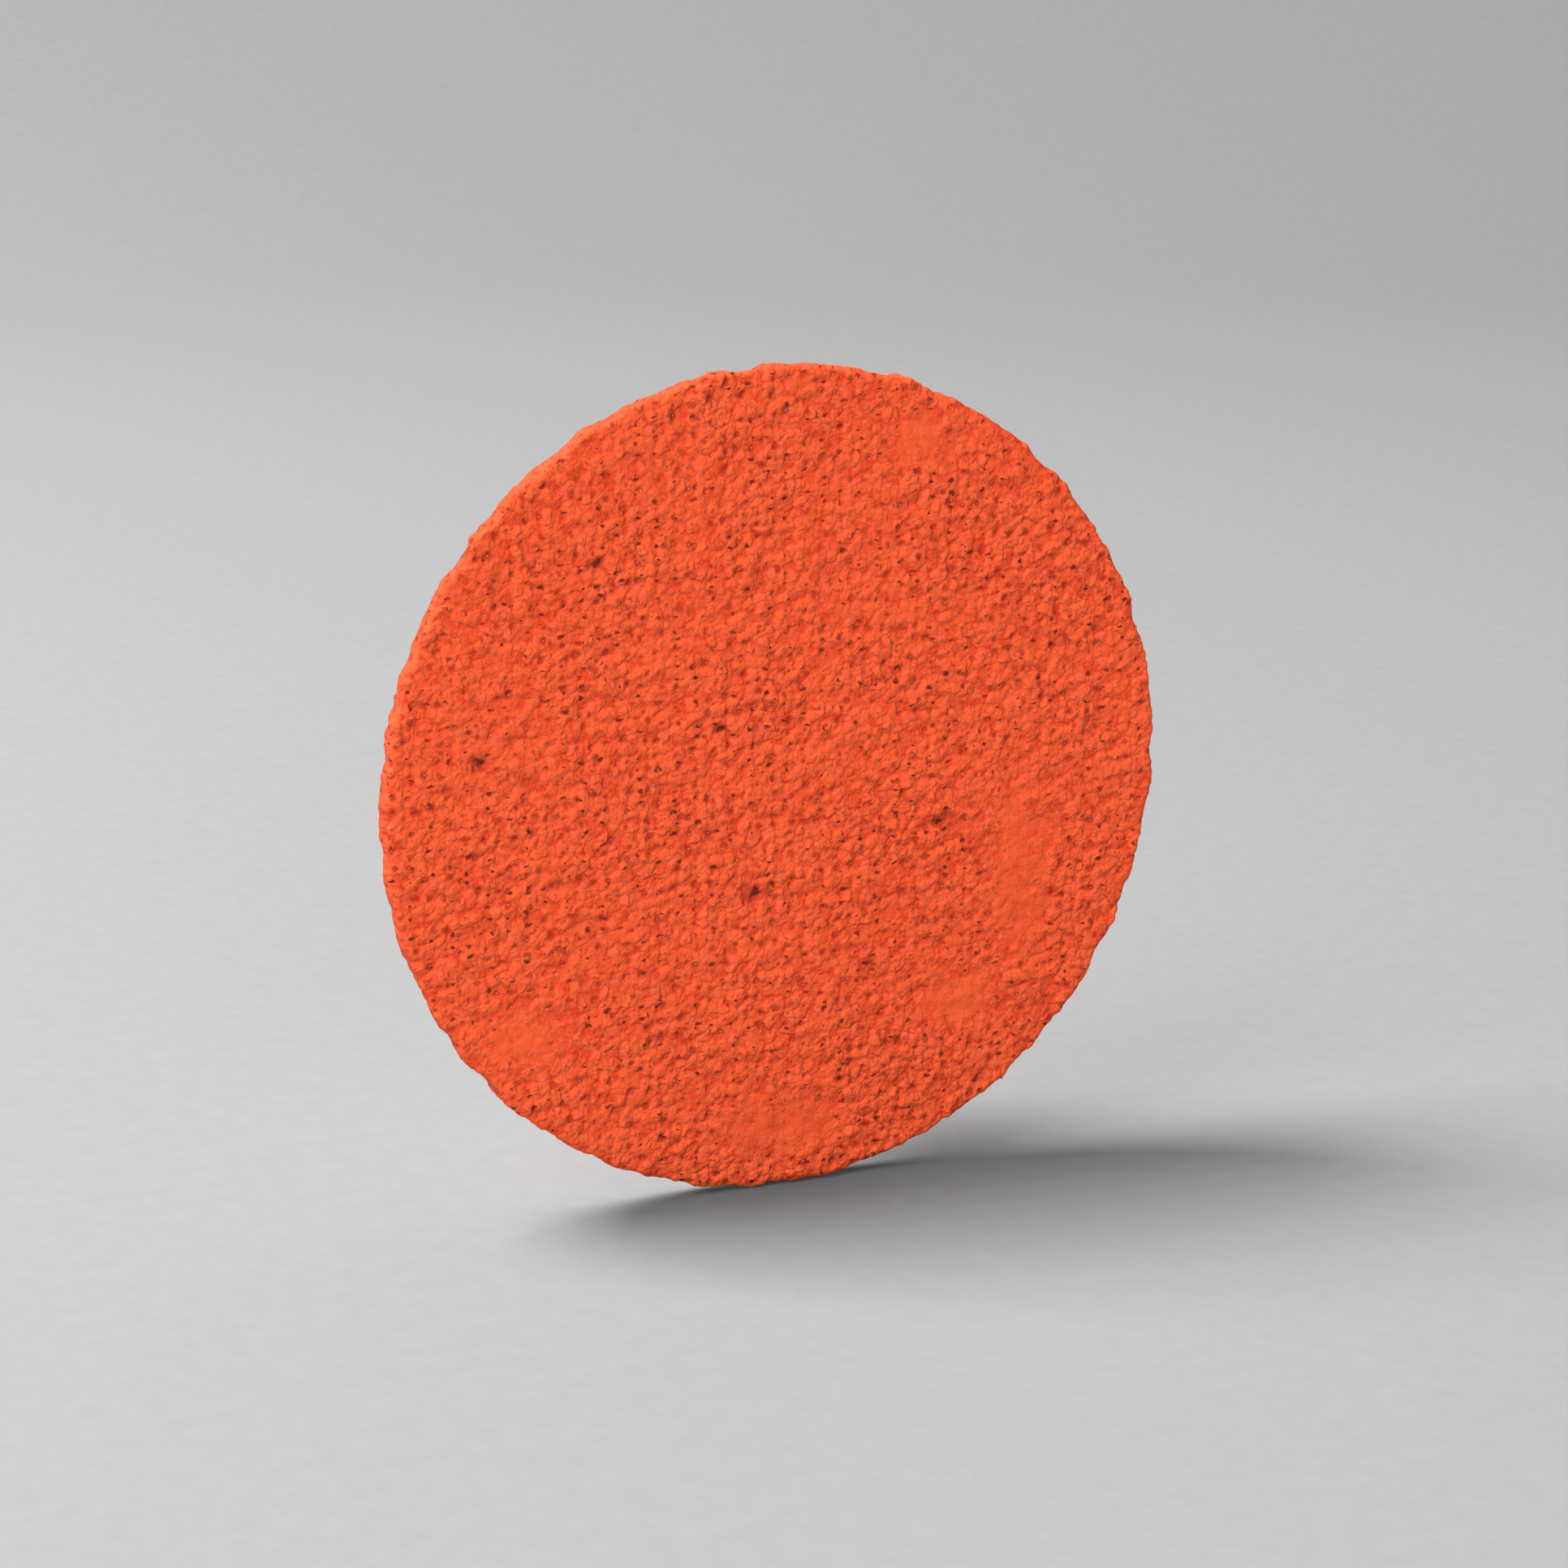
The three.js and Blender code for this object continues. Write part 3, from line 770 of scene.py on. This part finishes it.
def supersize_resin():
    """Mineral-filled supersize resin, roller-coated and cured: chalky and matt, with painted light on its
    crests and painted shade, darker and redder, in its hollows.
    """
    material, tree, shader, node = new_material("supersize resin, roller-coated", 0.78, 0.2)
    smooth = {"interpolation_type": "SMOOTHSTEP"}
    colour = {"data_type": "RGBA"}
    laid = node("ShaderNodeAttribute", attribute_name="laid").outputs["Vector"]
    field = relief_field(tree, laid, COLOUR_CREASE)

    # Filler in the resin mottles it finely and clouds it broadly
    chalk = node("ShaderNodeTexNoise", {"Vector": laid, "Scale": 1 / (0.22 * MM), "Detail": 3.0})
    cloud = node("ShaderNodeTexNoise", {"Vector": laid, "Scale": 1 / (3.2 * MM), "Detail": 2.0})
    # Painted highlight and shade: the grain's crests and the smooth pools are painted lighter, the hollows
    # between grains a darker, redder shade
    crest = node("ShaderNodeMapRange", [field["grain"], 0.0, 0.45, 0.0, 1.0], **smooth)
    pooled = node("ShaderNodeMapRange", [field["rough"], 0.3, 0.8, 0.55, 0.0])
    crest = node("ShaderNodeMath", [crest, pooled], operation="MAXIMUM")
    speckle = node("ShaderNodeMapRange", [chalk, 0.4, 0.75, 0.0, 0.45], **smooth)
    clouding = node("ShaderNodeMapRange", [cloud, 0.42, 0.68, 0.0, 0.25], **smooth)
    paint = node("ShaderNodeMix", {0: crest, 6: "#dc3e1a", 7: "#ec572d"}, **colour)
    paint = node("ShaderNodeMix", {0: speckle, 6: paint, 7: "#f2663c"}, **colour)
    paint = node("ShaderNodeMix", {0: clouding, 6: paint, 7: "#de4a24"}, **colour)
    # Painted shade: the resin is painted a deeper, darker red where it is sunk in dents and pits. The brown
    # grain shows softly where the coat is thin
    sunk = node("ShaderNodeMath", [field["dents"], field["pits"]], operation="MAXIMUM")
    sunk = node("ShaderNodeMath", [sunk, 0.8], operation="MULTIPLY")
    thin = node("ShaderNodeMath", [field["thin"], 0.6], operation="MULTIPLY")
    paint = node("ShaderNodeMix", {0: sunk, 6: paint, 7: "#a3240e"}, **colour)
    paint = node("ShaderNodeMix", {0: thin, 6: paint, 7: "#903216"}, **colour)
    # Painted shade: pores, pit floors and the undercuts below the bumps are painted a dark red
    paint = node("ShaderNodeMix", {0: field["pores_and_shade"], 6: paint, 7: "#74200f"}, **colour)
    # Painted glints: pale specks stand in for the light that bare crystal edges catch
    painted_glint = node("ShaderNodeMath", [field["painted_glint"], 0.55], operation="MULTIPLY")
    paint = node("ShaderNodeMix", {0: painted_glint, 6: paint, 7: "#ffd2c2"}, **colour)
    tree.links.new(paint.outputs[2], shader.inputs["Base Color"])

    # Bump deepens the skin's grain and dents, and adds what is finer than its mesh
    sharpened = node("ShaderNodeMath", [field["grain"], field["rough"]], operation="MULTIPLY")
    height = node("ShaderNodeMath", [sharpened, GRAIN_BUMP], operation="MULTIPLY")
    fine = node("ShaderNodeMath", [field["fine"], field["rough"]], operation="MULTIPLY")
    height = node("ShaderNodeMath", [fine, FINE_BUMP, height], operation="MULTIPLY_ADD")
    height = node("ShaderNodeMath", [chalk, CHALK_BUMP, height], operation="MULTIPLY_ADD")
    height = node("ShaderNodeMath", [field["pores_and_shade"], -PORE_BUMP, height], operation="MULTIPLY_ADD")
    height = node("ShaderNodeMath", [field["dents"], -DENT_BUMP, height], operation="MULTIPLY_ADD")
    bump = node("ShaderNodeBump", {"Height": height, "Distance": 1.0, "Strength": 1.0})
    tree.links.new(bump.outputs[0], shader.inputs["Normal"])
    return material


def fused_grain():
    """Brown fused alumina, crushed: dark glassy facets, mottled in tone and gloss."""
    material, tree, shader, node = new_material("fused alumina, crushed", 0.4, ior=1.76)
    place = node("ShaderNodeTexCoord").outputs["Object"]
    speckle = node("ShaderNodeTexNoise", {"Vector": place, "Scale": 1 / (0.12 * MM), "Detail": 2.0})
    tone = node("ShaderNodeMapRange", [speckle, 0.35, 0.65, 0.0, 1.0])
    body = node("ShaderNodeMix", {0: tone, 6: "#7a3420", 7: "#b05a3a"}, data_type="RGBA")
    tree.links.new(body.outputs[2], shader.inputs["Base Color"])
    gloss = node("ShaderNodeMapRange", [speckle, 0.3, 0.7, 0.3, 0.6])
    tree.links.new(gloss.outputs[0], shader.inputs["Roughness"])
    return material


def size_resin():
    """Phenolic size resin over grain: dark amber brown, semi-gloss, uneven."""
    material, tree, shader, node = new_material("phenolic resin over grain, cured", 0.4)
    place = node("ShaderNodeTexCoord").outputs["Object"]
    cells = node("ShaderNodeTexVoronoi", {"Vector": place, "Scale": 1 / GRAIN_PITCH})
    tone = node("ShaderNodeMapRange", [cells, 0.1, 0.7, 1.0, 0.0])
    body = node("ShaderNodeMix", {0: tone, 6: "#4a1c10", 7: "#8a4a2c"}, data_type="RGBA")
    tree.links.new(body.outputs[2], shader.inputs["Base Color"])
    bump = node("ShaderNodeBump", {"Height": cells, "Distance": 0.1 * MM, "Strength": 0.6})
    tree.links.new(bump.outputs[0], shader.inputs["Normal"])
    return material


def make_resin():
    """Phenolic make resin, knife-coated: a thin red-brown gloss line at the rim."""
    material, tree, shader, node = new_material("phenolic make resin, knife-coated", 0.35)
    place = node("ShaderNodeTexCoord").outputs["Object"]
    streaks = node("ShaderNodeTexNoise", {"Vector": place, "Scale": 1 / (0.8 * MM), "Detail": 3.0})
    tone = node("ShaderNodeMapRange", [streaks, 0.35, 0.65, 0.0, 1.0])
    body = node("ShaderNodeMix", {0: tone, 6: "#6e2a18", 7: "#96401f"}, data_type="RGBA")
    tree.links.new(body.outputs[2], shader.inputs["Base Color"])
    bump = node("ShaderNodeBump", {"Height": streaks, "Distance": 0.05 * MM, "Strength": 0.5})
    tree.links.new(bump.outputs[0], shader.inputs["Normal"])
    return material


def vulcanised_fibre():
    """Vulcanised fibre, calendered: horn-like dark red-brown, satin, with fibre streaks and felt marks."""
    material, tree, shader, node = new_material("vulcanised fibre, calendered", 0.5, 0.45)
    place = node("ShaderNodeTexCoord").outputs["Object"]
    drawn_out = node("ShaderNodeMapping", {"Vector": place, "Scale": (0.18, 1.0, 1.0)})
    streaks = node("ShaderNodeTexNoise", {
        "Vector": drawn_out, "Scale": 1 / (0.3 * MM), "Detail": 5.0, "Roughness": 0.65,
    })
    cloud = node("ShaderNodeTexNoise", {"Vector": place, "Scale": 1 / (5 * MM), "Detail": 3.0})
    tone = node("ShaderNodeMapRange", [streaks, 0.3, 0.7, 0.0, 1.0])
    body = node("ShaderNodeMix", {0: tone, 6: "#4a211b", 7: "#6b352b"}, data_type="RGBA")
    clouding = node("ShaderNodeMapRange", [cloud, 0.4, 0.7, 0.0, 0.55])
    body = node("ShaderNodeMix", {0: clouding, 6: body, 7: "#7a4335"}, data_type="RGBA")
    # Single fibres, drawn about twice as coarse as real ones so that they show
    slanted = node("ShaderNodeMapping", {"Vector": place, "Scale": (0.12, 1.0, 1.0), "Rotation": (0, 0.5, 0)})
    strands = {"Vector": slanted, "Scale": 1 / (0.5 * MM)}
    hairs = node("ShaderNodeTexVoronoi", strands, feature="DISTANCE_TO_EDGE")
    hair = node("ShaderNodeMapRange", [hairs, 0.03, 0.0, 0.0, 0.4])
    body = node("ShaderNodeMix", {0: hair, 6: body, 7: "#8f5848"}, data_type="RGBA")
    tree.links.new(body.outputs[2], shader.inputs["Base Color"])
    gloss = node("ShaderNodeMapRange", [cloud, 0.3, 0.7, 0.42, 0.6])
    tree.links.new(gloss.outputs[0], shader.inputs["Roughness"])
    # The felt of the drying calender leaves a cross-hatch, a little coarser here so that it shows
    weave = {"Vector": place, "Scale": 1 / FELT_SCALE, "Distortion": 1.2}
    across = node("ShaderNodeTexWave", weave, bands_direction="X")
    along = node("ShaderNodeTexWave", weave, bands_direction="Z")
    felt = node("ShaderNodeMath", [across.outputs["Fac"], along.outputs["Fac"]], operation="MULTIPLY")
    height = node("ShaderNodeMath", [felt, 0.5, streaks], operation="MULTIPLY_ADD")
    bump = node("ShaderNodeBump", {"Height": height, "Distance": 0.05 * MM, "Strength": 0.6})
    tree.links.new(bump.outputs[0], shader.inputs["Normal"])
    return material


def hot_melt():
    """Hot-melt adhesive, squeezed and set: straw-coloured, cloudy and glossy, with small bubbles."""
    material, tree, shader, node = new_material("hot-melt adhesive, squeezed out", 0.3)
    place = node("ShaderNodeTexCoord").outputs["Object"]
    bubbles = node("ShaderNodeTexVoronoi", {"Vector": place, "Scale": 1 / (0.6 * MM)})
    round_ones = node("ShaderNodeMapRange", [bubbles, 0.12, 0.2, 1.0, 0.0])
    cloud = node("ShaderNodeTexNoise", {"Vector": place, "Scale": 1 / (1.5 * MM), "Detail": 2.0})
    tone = node("ShaderNodeMapRange", [cloud, 0.35, 0.65, 0.0, 1.0])
    body = node("ShaderNodeMix", {0: tone, 6: "#c9a860", 7: "#e2cc96"}, data_type="RGBA")
    body = node("ShaderNodeMix", {0: round_ones, 6: body, 7: "#f0e4c4"}, data_type="RGBA")
    tree.links.new(body.outputs[2], shader.inputs["Base Color"])
    shader.inputs["Subsurface Weight"].default_value = 0.3
    shader.inputs["Subsurface Radius"].default_value = (1.0, 0.7, 0.3)
    shader.inputs["Subsurface Scale"].default_value = 0.4 * MM
    bump = node("ShaderNodeBump", {"Height": cloud, "Distance": 0.1 * MM, "Strength": 0.5})
    tree.links.new(bump.outputs[0], shader.inputs["Normal"])
    return material


def moulded_nylon():
    """Natural nylon, injection-moulded: milky off-white, satin from a spark-eroded tool, with flow marks."""
    name = "natural nylon, injection-moulded"
    if name in bpy.data.materials:
        return bpy.data.materials[name]
    material, tree, shader, node = new_material(name, 0.42, ior=1.53)
    place = node("ShaderNodeTexCoord").outputs["Object"]
    flow = node("ShaderNodeTexNoise", {
        "Vector": place, "Scale": 1 / (6 * MM), "Detail": 3.0, "Distortion": 1.5,
    })
    tone = node("ShaderNodeMapRange", [flow, 0.35, 0.65, 0.0, 1.0])
    body = node("ShaderNodeMix", {0: tone, 6: "#d8d4c6", 7: "#e2dfd2"}, data_type="RGBA")
    # Regrind leaves a few faint amber specks
    specks = node("ShaderNodeTexVoronoi", {"Vector": place, "Scale": 1 / (2.6 * MM)})
    speck = node("ShaderNodeMapRange", [specks, 0.05, 0.02, 0.0, 0.45])
    body = node("ShaderNodeMix", {0: speck, 6: body, 7: "#a08a5c"}, data_type="RGBA")
    # Handling dulls and darkens the parts that stand out
    edges = node("ShaderNodeNewGeometry").outputs["Pointiness"]
    wear = node("ShaderNodeMapRange", [edges, 0.53, 0.6, 0.0, 0.3])
    body = node("ShaderNodeMix", {0: wear, 6: body, 7: "#c9c3b0"}, data_type="RGBA")
    tree.links.new(body.outputs[2], shader.inputs["Base Color"])
    skin = node("ShaderNodeTexNoise", {"Vector": place, "Scale": 1 / (0.18 * MM), "Detail": 2.0})
    gloss = node("ShaderNodeMapRange", [skin, 0.3, 0.7, 0.36, 0.52])
    tree.links.new(gloss.outputs[0], shader.inputs["Roughness"])
    shader.inputs["Subsurface Weight"].default_value = 0.25
    shader.inputs["Subsurface Radius"].default_value = (1.0, 0.9, 0.7)
    shader.inputs["Subsurface Scale"].default_value = 1.2 * MM
    bump = node("ShaderNodeBump", {"Height": skin, "Distance": 0.02 * MM, "Strength": 0.5})
    tree.links.new(bump.outputs[0], shader.inputs["Normal"])
    return material


def seamless_paper():
    """Seamless paper, matt: pale neutral grey, with a faint fibre tooth."""
    material, tree, shader, node = new_material("seamless paper, matt", 0.95, 0.1)
    place = node("ShaderNodeTexCoord").outputs["Object"]
    tooth = node("ShaderNodeTexNoise", {"Vector": place, "Scale": 1 / (1.6 * MM), "Detail": 3.0})
    tone = node("ShaderNodeMapRange", [tooth, 0.3, 0.7, 0.0, 1.0])
    body = node("ShaderNodeMix", {0: tone, 6: "#cacaca", 7: "#cecece"}, data_type="RGBA")
    tree.links.new(body.outputs[2], shader.inputs["Base Color"])
    return material


def dress_node(name, material):
    """A CAD node that is kept gets its real finish."""
    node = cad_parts[name]
    node.data.materials.clear()
    node.data.materials.append(material)


# ---------------------------------------------------------------- studio

CAMERA_AZIMUTH = -24.1
CAMERA_ELEVATION = 13.8
CAMERA_LENS = 100.0
SENSOR_WIDTH = 36.0
DISC_SHARE_OF_FRAME = 0.538
FLOOR_FLAT_RADIUS = 0.42
FLOOR_SWEEP_RADIUS = 0.55
FLOOR_SWEEP_ANGLE = 80
FLOOR_SEGMENTS = 96
AMBIENT_LIGHT = 0.02


def direction(azimuth, elevation):
    """From the disc towards a viewer at an azimuth and an elevation, in degrees."""
    around, up = math.radians(azimuth), math.radians(elevation)
    return Vector((math.sin(around) * math.cos(up), -math.cos(around) * math.cos(up), math.sin(up)))


def add_camera():
    """A long lens that looks at the middle of the grain face from the chosen angle."""
    data = bpy.data.cameras.new("camera")
    data.lens = CAMERA_LENS
    data.sensor_width = SENSOR_WIDTH
    data.clip_start, data.clip_end = 0.01, 20.0
    camera = bpy.data.objects.new("camera", data)
    bpy.context.scene.collection.objects.link(camera)
    bpy.context.scene.camera = camera
    back = direction(CAMERA_AZIMUTH, CAMERA_ELEVATION)
    frame_width = 2 * coat_high.z / DISC_SHARE_OF_FRAME
    camera.location = Vector((0, FACE_Y, 0)) + back * frame_width * CAMERA_LENS / SENSOR_WIDTH
    camera.rotation_mode = "QUATERNION"
    camera.rotation_quaternion = back.to_track_quat("Z", "Y")


def add_floor(low_z):
    """A round sheet of paper that lies flat and sweeps up far away on every side."""
    sweep = [(FLOOR_FLAT_RADIUS + FLOOR_SWEEP_RADIUS * math.sin(t), FLOOR_SWEEP_RADIUS * (1 - math.cos(t)))
             for t in np.radians(np.linspace(0, FLOOR_SWEEP_ANGLE, 24))]
    points = [(0, 0, low_z)]
    for radius, height in sweep:
        for k in range(FLOOR_SEGMENTS):
            turn = TURN * k / FLOOR_SEGMENTS
            points.append((radius * math.cos(turn), radius * math.sin(turn), low_z + height))
    faces = [(0, 1 + k, 1 + (k + 1) % FLOOR_SEGMENTS) for k in range(FLOOR_SEGMENTS)]
    faces += [tuple(1 + corner for corner in quad) for quad in ring_faces(len(sweep), FLOOR_SEGMENTS)]
    floor = mesh_piece("studio_floor", points, faces)
    floor.data.materials.append(seamless_paper())
    return floor


def add_softbox(name, azimuth, elevation, distance, width, height, power, kept_off=None):
    """A rectangular lamp of that many watts, aimed at the button's end, that may spare a collection."""
    light = bpy.data.lights.new(name, "AREA")
    light.shape = "RECTANGLE"
    light.size, light.size_y = width, height
    light.energy = power
    lamp = bpy.data.objects.new(name, light)
    bpy.context.scene.collection.objects.link(lamp)
    way = direction(azimuth, elevation)
    lamp.location = way * distance
    lamp.rotation_mode = "QUATERNION"
    lamp.rotation_quaternion = way.to_track_quat("Z", "Y")
    lamp.visible_camera = False
    if kept_off:
        lamp.light_linking.receiver_collection = kept_off


def add_studio(floor):
    """Two softboxes light the paper and the disc. The others are flagged off the paper."""
    scene = bpy.context.scene
    scene.view_settings.view_transform = "Standard"
    world = bpy.data.worlds.new("studio")
    world.use_nodes = True
    background = world.node_tree.nodes["Background"]
    background.inputs["Color"].default_value = (1, 1, 1, 1)
    background.inputs["Strength"].default_value = AMBIENT_LIGHT
    scene.world = world
    paper = bpy.data.collections.new("paper")
    paper.objects.link(floor)
    paper.collection_objects[0].light_linking.link_state = "EXCLUDE"
    # Azimuth, elevation, distance, width, height, power in watts, and what the light is flagged off
    add_softbox("rear_softbox", -116, 58, 0.95, 0.5, 0.5, 9.6)
    add_softbox("left_softbox", -62, 42, 0.95, 0.5, 0.5, 1.5)
    add_softbox("top_softbox", -35, 62, 1.0, 0.36, 0.36, 7.0, paper)
    add_softbox("front_strip", -30, 12, 0.6, 0.45, 0.2, 1.7, paper)
    add_softbox("back_strip", 160, 25, 0.6, 0.4, 0.15, 0.9, paper)


# ---------------------------------------------------------------- the disc and its studio

coat = supersize_coat()
grain_tips(coat)
fibre_backing()
bond_film()
threaded_button()
dress_node("grain_coat", size_resin())
dress_node("make_coat", make_resin())

model_low, model_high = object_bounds()
add_camera()
add_studio(add_floor(model_low.z))
